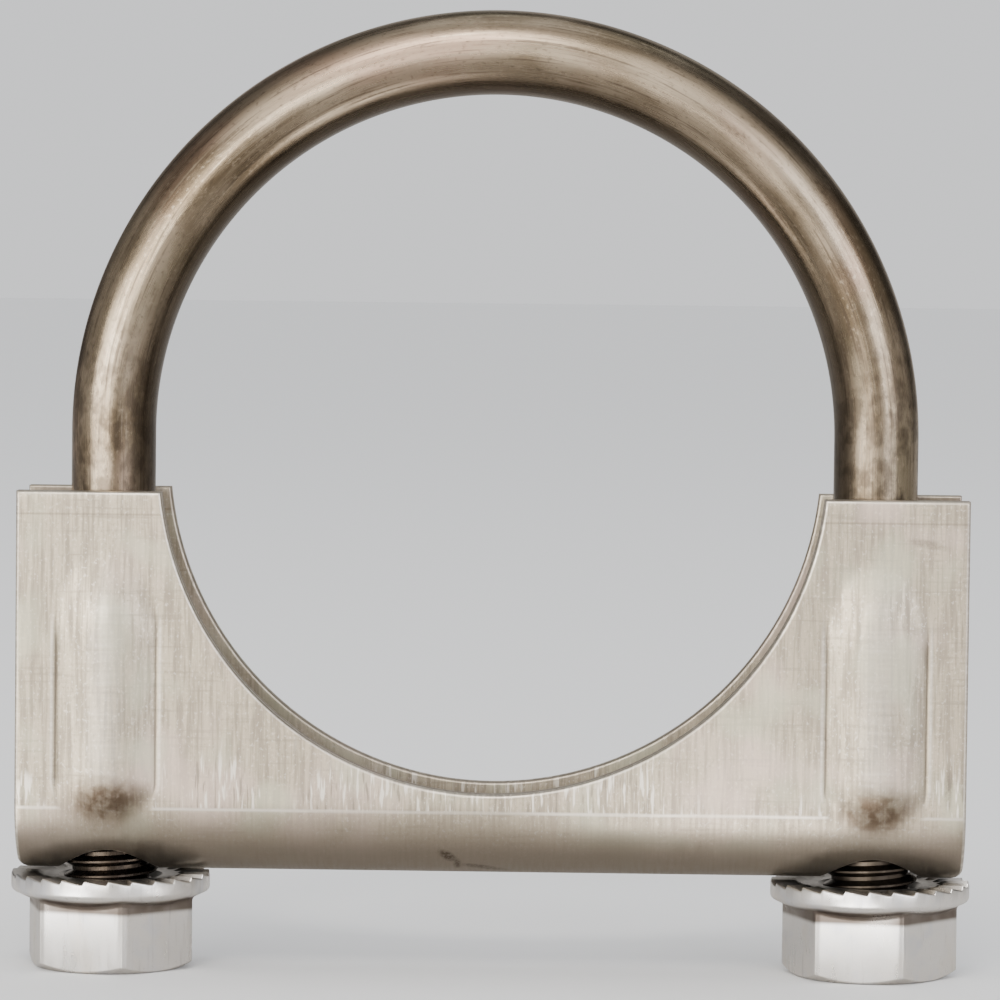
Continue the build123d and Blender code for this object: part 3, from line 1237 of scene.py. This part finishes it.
    def fold_border(self, inset: float) -> tuple[np.ndarray, np.ndarray]:
        """Walks once round the fold's part of the right ear, through the columns that its neighbours have.

        Args:
            inset: How far the walk lies inside the outline.

        Returns:
            The X and the run of each point.
        """
        columns, runs = self.ear_columns(inset), self.fold_runs
        front, back = np.full_like(columns, runs[0]), np.full_like(columns, runs[-1])
        web = np.full_like(runs, columns[0])
        x = np.concatenate([columns, self.end_x(runs, inset)[1:], columns[::-1][1:], web[1:]])
        return x, np.concatenate([front, runs[1:], back[1:], runs[::-1][1:]])

    def hole_edge(
        self, edge_x: np.ndarray, edge_run: np.ndarray, radius: float, depth: float
    ) -> tuple[np.ndarray, np.ndarray]:
        """Finds the hole's edge in the direction of each border point.

        The hole is round when it is looked at along the leg, so a point of it at a distance Y from the
        middle lies on the fold at the angle whose sine is Y over the face's radius.

        Args:
            edge_x: The border points' X.
            edge_run: The border points' run.
            radius: The hole's radius.
            depth: The face's depth.

        Returns:
            The X and the run of each point on the hole's edge.
        """
        middle = self.plate_height + self.fold_run / 2
        direction = np.arctan2((edge_run - middle) * self.hole_squeeze, edge_x - self.leg_x)
        face_radius = self.outer_radius - depth
        furthest = self.steepest_fold * face_radius
        y = np.clip(radius * np.sin(direction), -furthest, furthest)
        angle = np.arcsin(y / face_radius)
        return self.leg_x + radius * np.cos(direction), middle + angle * self.outer_radius

    def edge_profile(self) -> tuple[np.ndarray, np.ndarray, np.ndarray, np.ndarray]:
        """Gives the section of a sheared edge, from the outer face over to the inner face.

        A quarter circle rolls over the outside, the punch leaves an upright band, the metal then tears a
        little inwards, and a smaller quarter circle ends at the inside. The first and the last station
        carry no wear of their own, because they lie on the faces.

        Returns:
            The inset, the depth, how burnished each station is, where the outer round's share is a painted
            highlight, and how torn each station is.
        """
        quarter = np.linspace(0.0, math.pi / 2, self.round_steps + 1)
        back, corner = quarter[::-1], np.ones_like(quarter)
        wall_depth, wall_inset, wall_rubbed, wall_torn = np.array(self.sheared_wall).T
        rolled_inset = self.outer_round * (1 - np.sin(quarter))
        rolled_depth = self.outer_round * (1 - np.cos(quarter))
        closing_inset = self.inner_round * (1 - np.sin(back))
        closing_depth = self.thickness - self.inner_round * (1 - np.cos(back))
        inset = np.concatenate([rolled_inset, wall_inset, closing_inset])
        depth = np.concatenate([rolled_depth, wall_depth, closing_depth])
        # The outer round is brightened as a painted highlight, the upright band as burnish
        rubbed_and_highlit = np.concatenate([self.rolled_highlight * corner, wall_rubbed, self.closing_polish * corner])
        torn = np.concatenate([0.0 * corner, wall_torn, self.closing_torn * corner])
        rubbed_and_highlit[0] = 0.0
        torn[-1] = 0.0
        return inset, depth, rubbed_and_highlit, torn

    def edges(self, skin: Skin) -> None:
        """Closes the sheet's outline and its holes with the sheared edge's section.

        Each station of the section follows the outline at its own inset, so the corners are mitred and
        every station meets its neighbour.

        Args:
            skin: The saddle's skin, which takes the edges.
        """
        inset, depth, rubbed_and_highlit, torn = self.edge_profile()
        ears, seats, ends, holes = [], [], [], []
        for station, sunk in zip(inset, depth):
            columns, runs = self.ear_columns(station), self.plate_runs(station)
            end_runs = np.concatenate([runs, self.fold_runs[1:-1], (self.full_run - runs)[::-1]])
            ears.append((columns, np.full_like(columns, station)))
            seats.append(self.seat_line(station))
            ends.append((self.end_x(end_runs, station), end_runs))
            holes.append(self.hole_edge(*self.fold_border(station), self.hole_radius + station, sunk))
        sunk = depth[:, None]
        wear = {"rubbed_and_highlit": rubbed_and_highlit[:, None], "torn": torn[:, None]}
        # Each outline, whether it is on both legs, and whether it is on both plates
        outlines = ((ears, True, True), (seats, False, True), (ends, True, False), (holes, True, False))
        for lines, on_both_legs, on_both_plates in outlines:
            x = np.stack([line[0] for line in lines])
            run = np.stack([line[1] for line in lines])
            for side in Side if on_both_legs else (Side.RIGHT,):
                for way in (run, self.full_run - run) if on_both_plates else (run,):
                    grid = self.place(side.value * x, way, sunk)
                    skin.patch(grid, **(self.marks(x, way, sunk) | wear))

    def build(self) -> bpy.types.Object:
        """Builds the saddle in one closed skin and dresses it.

        Returns:
            The finished saddle.
        """
        skin = Skin("folded_saddle")
        for inset, depth in ((self.outer_round, 0.0), (self.inner_round, self.thickness)):
            self.plates(skin, inset, depth)
            self.fold(skin, inset, depth)
        self.edges(skin)
        piece = skin.weld(self.crease)
        piece.data.materials.append(self.finish.make())
        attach(piece, "saddle")
        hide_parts("saddle")
        return piece


# ----------------------------------------------------------------- flange nuts
@dataclass(frozen=True)
class NutReflectionAndOil:
    """How far the painted cone reflection and the oil with its painted shade reach on a nut, in
    millimetres, and their shares of 0 to 1.
    """

    cone_reflection_fade: float = 0.2
    cone_reflection_above_rim: float = 0.2
    rim_clear: float = 0.1
    rim_fade: float = 1.0
    bearing_slack: float = 0.06
    bearing_fade: float = 0.05
    oil_clear: float = 0.4
    oil_fade: float = 1.2
    oil_least: float = 0.25
    oil_more: float = 0.6
    bore_oil_and_shade: float = 0.7


@dataclass
class FlangeNut:
    """One serrated flange nut: a hexagon, a coned flange with sawtooth serrations and a threaded bore."""

    side: Side
    turn: float
    leg_x: float = 32.15
    top_z: float = -35.2
    height: float = 8.0
    half_flats: float = 6.5
    corner_round: float = 0.09
    corner_degrees: float = 3.2
    flange_radius: float = 8.4
    rim_height: float = 1.2
    cone_slope: float = math.tan(math.radians(25))
    chamfer_slope: float = math.tan(math.radians(30))
    chamfer_start: float = 6.3
    tooth_count: int = 26
    tooth_height: float = 0.3
    tooth_inner: float = 5.6
    tooth_step: float = 0.7
    tooth_step_share: float = 0.85
    tooth_width_share: float = 0.8
    tooth_nudge: float = 1e-6
    mouth_radius: float = 4.4
    bore_gap: float = 0.08
    columns_per_tooth: int = 12
    # From the free end's face over the chamfer, the cone and the rim to the inner end of the teeth
    setbacks: tuple[float, ...] = (0.12, 0.10, 0.35, 0.28, 0.16, 0.2, 0.12)
    round_steps: int = 4
    crease: float = 24.0
    thread: RolledThread = field(default_factory=lambda: RolledThread(rows_per_turn=8))
    marks: NutReflectionAndOil = field(default_factory=NutReflectionAndOil)
    finish: BrightZincPlate = field(default_factory=BrightZincPlate)

    @property
    def angles(self) -> np.ndarray:
        """The columns' angles, over one full turn, which start at a corner of the hexagon."""
        steps = self.tooth_count * self.columns_per_tooth
        return math.radians(self.turn) + np.linspace(0.0, TURN, steps + 1)

    def hexagon(self, angles: np.ndarray) -> np.ndarray:
        """Gives the hexagon's radius.

        It is half the width across flats over the cosine of the angle from the middle of the flat, less a
        little near the corners, where it is rounded.

        Args:
            angles: The columns' angles.

        Returns:
            The radius of each column.
        """
        local = (angles - math.radians(self.turn)) % (math.pi / 3) - math.pi / 6
        sharp = self.half_flats / np.cos(local)
        near_corner = ease(1.0 - (math.pi / 6 - np.abs(local)) / math.radians(self.corner_degrees))
        return sharp - self.corner_round * near_corner

    def teeth(self, angles: np.ndarray) -> np.ndarray:
        """Gives the sawteeth, 0 to 1: each stands up at once and runs down over most of its pitch."""
        place = (angles - math.radians(self.turn)) * self.tooth_count / TURN + self.tooth_nudge
        return np.clip(1.0 - place % 1.0 / self.tooth_width_share, 0.0, 1.0)

    def outside(self) -> np.ndarray:
        """Draws the nut's section on each column.

        It runs from the mouth of the bore at the free end, over the chamfer, the flat, the cone, the rim
        and the teeth, to the mouth at the bearing end.

        Returns:
            The radius and the height of each point, as rows x columns x 2.
        """
        angles = self.angles
        flat = np.ones_like(angles)
        low, face = self.top_z - self.height, self.top_z - self.tooth_height
        rim_low = face - self.rim_height
        hexagon, teeth = self.hexagon(angles), self.teeth(angles) * self.tooth_height
        cone_low = rim_low - (self.flange_radius - hexagon) * self.cone_slope
        chamfer_top = low + (hexagon - self.chamfer_start) * self.chamfer_slope
        corners = [
            (self.mouth_radius * flat, low * flat),
            (self.chamfer_start * flat, low * flat),
            (hexagon, chamfer_top),
            (hexagon, cone_low),
            (self.flange_radius * flat, rim_low * flat),
            (self.flange_radius * flat, face + teeth),
            ((self.tooth_inner + self.tooth_step) * flat, face + self.tooth_step_share * teeth),
            (self.tooth_inner * flat, face * flat),
            (self.mouth_radius * flat, face * flat),
        ]
        stacked = np.stack([np.stack(pair, axis=-1) for pair in corners])
        return eased_corners(stacked, self.setbacks, self.round_steps)

    def films(self, section: np.ndarray) -> tuple[np.ndarray, np.ndarray]:
        """Gives where the nut has the painted cone reflection, and where it is oiled with painted shade.

        Args:
            section: The nut's section, as rows x columns x 2.

        Returns:
            How strongly the painted dark brown reflection shows, which is in the root of the cone under the
            flange, and how oiled and shaded it is, which is on the bearing end inside the teeth.
        """
        marks = self.marks
        radius, height = section[..., 0], section[..., 1]
        face = self.top_z - self.tooth_height
        # Painted dark brown reflection on the cone under the rim
        off_flat = ease((radius - self.hexagon(self.angles)) / marks.cone_reflection_fade)
        off_rim = ease((self.flange_radius - marks.rim_clear - radius) / marks.rim_fade)
        under_rim = height < face - self.rim_height + marks.cone_reflection_above_rim
        # Oil on the bearing face, dark also as painted shade of the gap
        bearing = np.clip((height - face + marks.bearing_slack) / marks.bearing_fade, 0.0, 1.0)
        inside_rim = ease((self.flange_radius - marks.oil_clear - radius) / marks.oil_fade)
        oily = bearing * (marks.oil_least + marks.oil_more * inside_rim)
        return np.where(under_rim, off_flat * off_rim, 0.0), oily

    def build(self) -> bpy.types.Object:
        """Builds the nut in one closed skin and dresses it.

        The bore follows the leg's own thread at a small gap, and opens to a cone at both ends.

        Returns:
            The finished nut.
        """
        name = self.side.name.lower()
        skin = Skin(f"{name}_serrated_nut")
        centre = self.side.value * self.leg_x
        section, angles = self.outside(), self.angles
        x, y = centre + section[..., 0] * np.cos(angles), section[..., 0] * np.sin(angles)
        stained, oily = self.films(section)
        skin.patch(np.stack([x, y, section[..., 1]], axis=-1), stained=stained, oily=oily)

        low, high = self.top_z - self.height, self.top_z - self.tooth_height
        heights, radii = self.thread.grid(angles, low, high)
        radii = radii + self.bore_gap
        radii = np.maximum(radii, self.mouth_radius - np.minimum(heights - low, high - heights))
        bore = [centre + radii * np.cos(angles), radii * np.sin(angles), heights]
        # The bore is darkened as oil and as painted shade
        skin.patch(np.stack(bore, axis=-1), stained=0.0, oily=self.marks.bore_oil_and_shade)
        piece = skin.weld(self.crease)
        piece.data.materials.append(self.finish.make())
        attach(piece, f"{name}_nut")
        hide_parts(f"{name}_flange_nut")
        return piece


# ---------------------------------------------------------------------- studio
@dataclass(frozen=True)
class Glow:
    """A soft bright stretch of the room's walls, which the metal mirrors."""

    toward: tuple[float, float, float]
    inner_degrees: float
    outer_degrees: float
    strength: float

    def add_to(self, tree: bpy.types.NodeTree, way: bpy.types.NodeSocket) -> bpy.types.NodeSocket:
        """Gives the glow's share of the light that comes from one direction.

        Args:
            tree: The world's node tree.
            way: The direction that is looked in.

        Returns:
            The strength, full within the inner angle from the middle and nothing past the outer angle.
        """
        settings = {"operation": "DOT_PRODUCT", 1: tuple(Vector(self.toward).normalized())}
        dot = add_node(tree, "ShaderNodeVectorMath", settings, {0: way}).outputs["Value"]
        edge, core = (math.cos(math.radians(angle)) for angle in (self.outer_degrees, self.inner_degrees))
        band = {1: edge, 2: core, 3: 0.0, 4: self.strength, "interpolation_type": "SMOOTHSTEP"}
        return add_node(tree, "ShaderNodeMapRange", band, {0: dot}).outputs[0]


@dataclass(frozen=True)
class SoftBox:
    """A soft light that hangs at a bearing and a height angle and faces the clamp."""

    name: str
    bearing: float
    height_angle: float
    distance: float
    width: float
    height: float
    radiance: float
    colour: str

    def hang(self) -> None:
        """Adds the light. Its power is its radiance times pi times its area."""
        data = bpy.data.lights.new(self.name, "AREA")
        data.shape = "RECTANGLE"
        data.size = self.width
        data.size_y = self.height
        data.energy = self.radiance * math.pi * self.width * self.height
        data.color = linear(self.colour)[:3]
        way = direction(self.bearing, self.height_angle)
        lamp = bpy.data.objects.new(self.name, data)
        lamp.location = way * self.distance
        lamp.rotation_euler = way.to_track_quat("Z", "Y").to_euler()
        bpy.context.scene.collection.objects.link(lamp)


def direction(bearing: float, height_angle: float) -> Vector:
    """Gives the direction at a bearing from the front, positive to the right, and an angle above level."""
    turn, lift = math.radians(bearing), math.radians(height_angle)
    return Vector((math.sin(turn) * math.cos(lift), -math.cos(turn) * math.cos(lift), math.sin(lift)))


@dataclass
class Studio:
    """The pale floor, the room that the metal mirrors, the soft lights and the camera."""

    floor_half: float = 6.0
    floor_cells: int = 24
    floor_gap_mm: float = 0.02
    floor_colour: str = "#e3e4e5"
    floor_roughness: float = 0.85
    mirrored_floor: str = "#b3aea8"
    pools_mm: tuple[tuple[float, float], ...] = ((-55.0, -33.0), (22.0, -36.0))
    pool_radius_mm: float = 16.0
    pool_core: float = 0.6
    pool_strength: float = 10.0
    pool_colour: str = "#fffaf4"
    wall_colour: str = "#e6e7e9"
    wall_strength: float = 1.5
    seen_wall_strength: float = 1.2
    room_colour: str = "#fff8f0"
    room_base: float = 0.07
    room_glows: tuple[Glow, ...] = (
        Glow((0.02, -0.98, 0.15), 24, 66, 0.80),
        Glow((-0.10, -0.60, 0.78), 18, 52, 0.65),
        Glow((0.94, -0.34, 0.05), 18, 46, 0.46),
        Glow((-0.99, -0.05, 0.10), 22, 50, 0.30),
        Glow((0.10, 0.97, 0.22), 16, 36, 0.50),
    )
    boxes: tuple[SoftBox, ...] = (
        SoftBox("low_left", -33, 6, 0.90, 0.90, 0.28, 8.2, "#fffaf3"),
        SoftBox("low_right", 38, 12, 0.90, 0.50, 0.36, 5.0, "#f6f7ff"),
        SoftBox("high_front", -8, 46, 0.95, 0.26, 0.26, 15.0, "#fff9f0"),
        SoftBox("overhead", 160, 76, 1.00, 0.60, 0.60, 1.0, "#ffffff"),
    )
    aim_mm: tuple[float, float, float] = (0.5, 0.0, -3.4)
    distance_mm: float = 420.0
    azimuth: float = 0.9
    elevation: float = 2.8
    roll: float = 0.65
    view_width_mm: float = 84.4
    sensor_mm: float = 36.0
    near_clip: float = 0.02

    def floor(self) -> None:
        """Lays a plain pale card floor just under the lowest point of the clamp."""
        level = CAD_BOX[0][2] / MM - self.floor_gap_mm
        side = np.linspace(-self.floor_half, self.floor_half, self.floor_cells + 1) / MM
        x, y = np.meshgrid(side, side)
        skin = Skin("floor")
        skin.patch(np.stack([x, y, np.full_like(x, level)], axis=-1))
        floor = skin.weld(crease=30.0)
        floor.data.materials.append(self.card())

    def card(self) -> bpy.types.Material:
        """Makes the floor's pale card.

        The metal mirrors it darker than it is, as if dark cloths lay round the clamp. A small pool of
        light lies in front of each nut, where its upright front flat mirrors it.

        Returns:
            The card's material.
        """
        material = bpy.data.materials.new("pale_card")
        material.use_nodes = True
        tree = material.node_tree
        mirrored = add_node(tree, "ShaderNodeLightPath").outputs["Is Glossy Ray"]
        colours = {"data_type": "RGBA", 6: linear(self.floor_colour), 7: linear(self.mirrored_floor)}
        mix = add_node(tree, "ShaderNodeMix", colours, {0: mirrored})
        shown = {0: self.pools(tree), 1: mirrored}
        glow = add_node(tree, "ShaderNodeMath", {"operation": "MULTIPLY"}, shown)
        shader = tree.nodes["Principled BSDF"]
        shader.inputs["Roughness"].default_value = self.floor_roughness
        shader.inputs["Emission Color"].default_value = linear(self.pool_colour)
        tree.links.new(mix.outputs[2], shader.inputs["Base Color"])
        tree.links.new(glow.outputs[0], shader.inputs["Emission Strength"])
        return material

    def pools(self, tree: bpy.types.NodeTree) -> bpy.types.NodeSocket:
        """Draws the round pools of light on the floor.

        Args:
            tree: The card's node tree.

        Returns:
            The strength, full in each pool's core and nothing from its radius on.
        """
        low = CAD_BOX[0][2]
        where = add_node(tree, "ShaderNodeTexCoord").outputs["Object"]
        away = []
        for x, y in self.pools_mm:
            centre = {"operation": "DISTANCE", 1: (x * MM, y * MM, low)}
            away.append(add_node(tree, "ShaderNodeVectorMath", centre, {0: where}).outputs["Value"])
        nearest = away[0]
        for other in away[1:]:
            links = {0: nearest, 1: other}
            nearest = add_node(tree, "ShaderNodeMath", {"operation": "MINIMUM"}, links).outputs[0]
        radius = self.pool_radius_mm * MM
        fade = {1: radius, 2: self.pool_core * radius, 3: 0.0, 4: self.pool_strength}
        fade["interpolation_type"] = "SMOOTHSTEP"
        return add_node(tree, "ShaderNodeMapRange", fade, {0: nearest}).outputs[0]

    def world(self) -> None:
        """Surrounds the clamp with pale walls, which light the floor evenly. The metal mirrors a dimmer
        room with a few soft glows."""
        world = bpy.data.worlds.new("studio")
        world.use_nodes = True
        bpy.context.scene.world = world
        tree = world.node_tree
        tree.nodes.clear()
        way = add_node(tree, "ShaderNodeTexCoord").outputs["Generated"]
        total = add_node(tree, "ShaderNodeValue")
        total.outputs[0].default_value = self.room_base
        for glow in self.room_glows:
            links = {0: total.outputs[0], 1: glow.add_to(tree, way)}
            total = add_node(tree, "ShaderNodeMath", {"operation": "ADD"}, links)
        warm = {"Color": linear(self.room_colour)}
        room = add_node(tree, "ShaderNodeBackground", warm, {"Strength": total.outputs[0]})
        path = add_node(tree, "ShaderNodeLightPath")
        levels = {3: self.wall_strength, 4: self.seen_wall_strength}
        level = add_node(tree, "ShaderNodeMapRange", levels, {0: path.outputs["Is Camera Ray"]})
        pale = {"Color": linear(self.wall_colour)}
        walls = add_node(tree, "ShaderNodeBackground", pale, {"Strength": level.outputs[0]})
        links = {0: path.outputs["Is Glossy Ray"], 1: walls.outputs[0], 2: room.outputs[0]}
        mixed = add_node(tree, "ShaderNodeMixShader", links=links)
        add_node(tree, "ShaderNodeOutputWorld", links={"Surface": mixed.outputs[0]})

    def camera(self) -> None:
        """Stands the camera in front of the clamp, a little high and a little to the right."""
        data = bpy.data.cameras.new("camera")
        data.sensor_width = self.sensor_mm
        data.lens = self.sensor_mm * self.distance_mm / self.view_width_mm
        data.clip_start = self.near_clip
        camera = bpy.data.objects.new("camera", data)
        back = direction(self.azimuth, self.elevation)
        aim = back.to_track_quat("Z", "Y").to_matrix() @ Matrix.Rotation(math.radians(self.roll), 3, "Z")
        camera.rotation_euler = aim.to_euler()
        camera.location = Vector(self.aim_mm) * MM + back * self.distance_mm * MM
        bpy.context.scene.collection.objects.link(camera)
        bpy.context.scene.camera = camera

    def build(self) -> None:
        """Sets up the whole studio."""
        self.floor()
        self.world()
        for box in self.boxes:
            box.hang()
        self.camera()


def main() -> None:
    """Builds the clamp piece by piece, then the studio."""
    logging.basicConfig(level=logging.INFO, format="%(name)s: %(message)s")
    makers = [
        DrawnBar(),
        FoldedSaddle(),
        FlangeNut(Side.LEFT, turn=-17.0),
        FlangeNut(Side.RIGHT, turn=-10.4),
    ]
    for maker in makers:
        piece = maker.build()
        log.info("%s is dressed", piece.name)
    Studio().build()


if __name__ == "__main__":
    main()
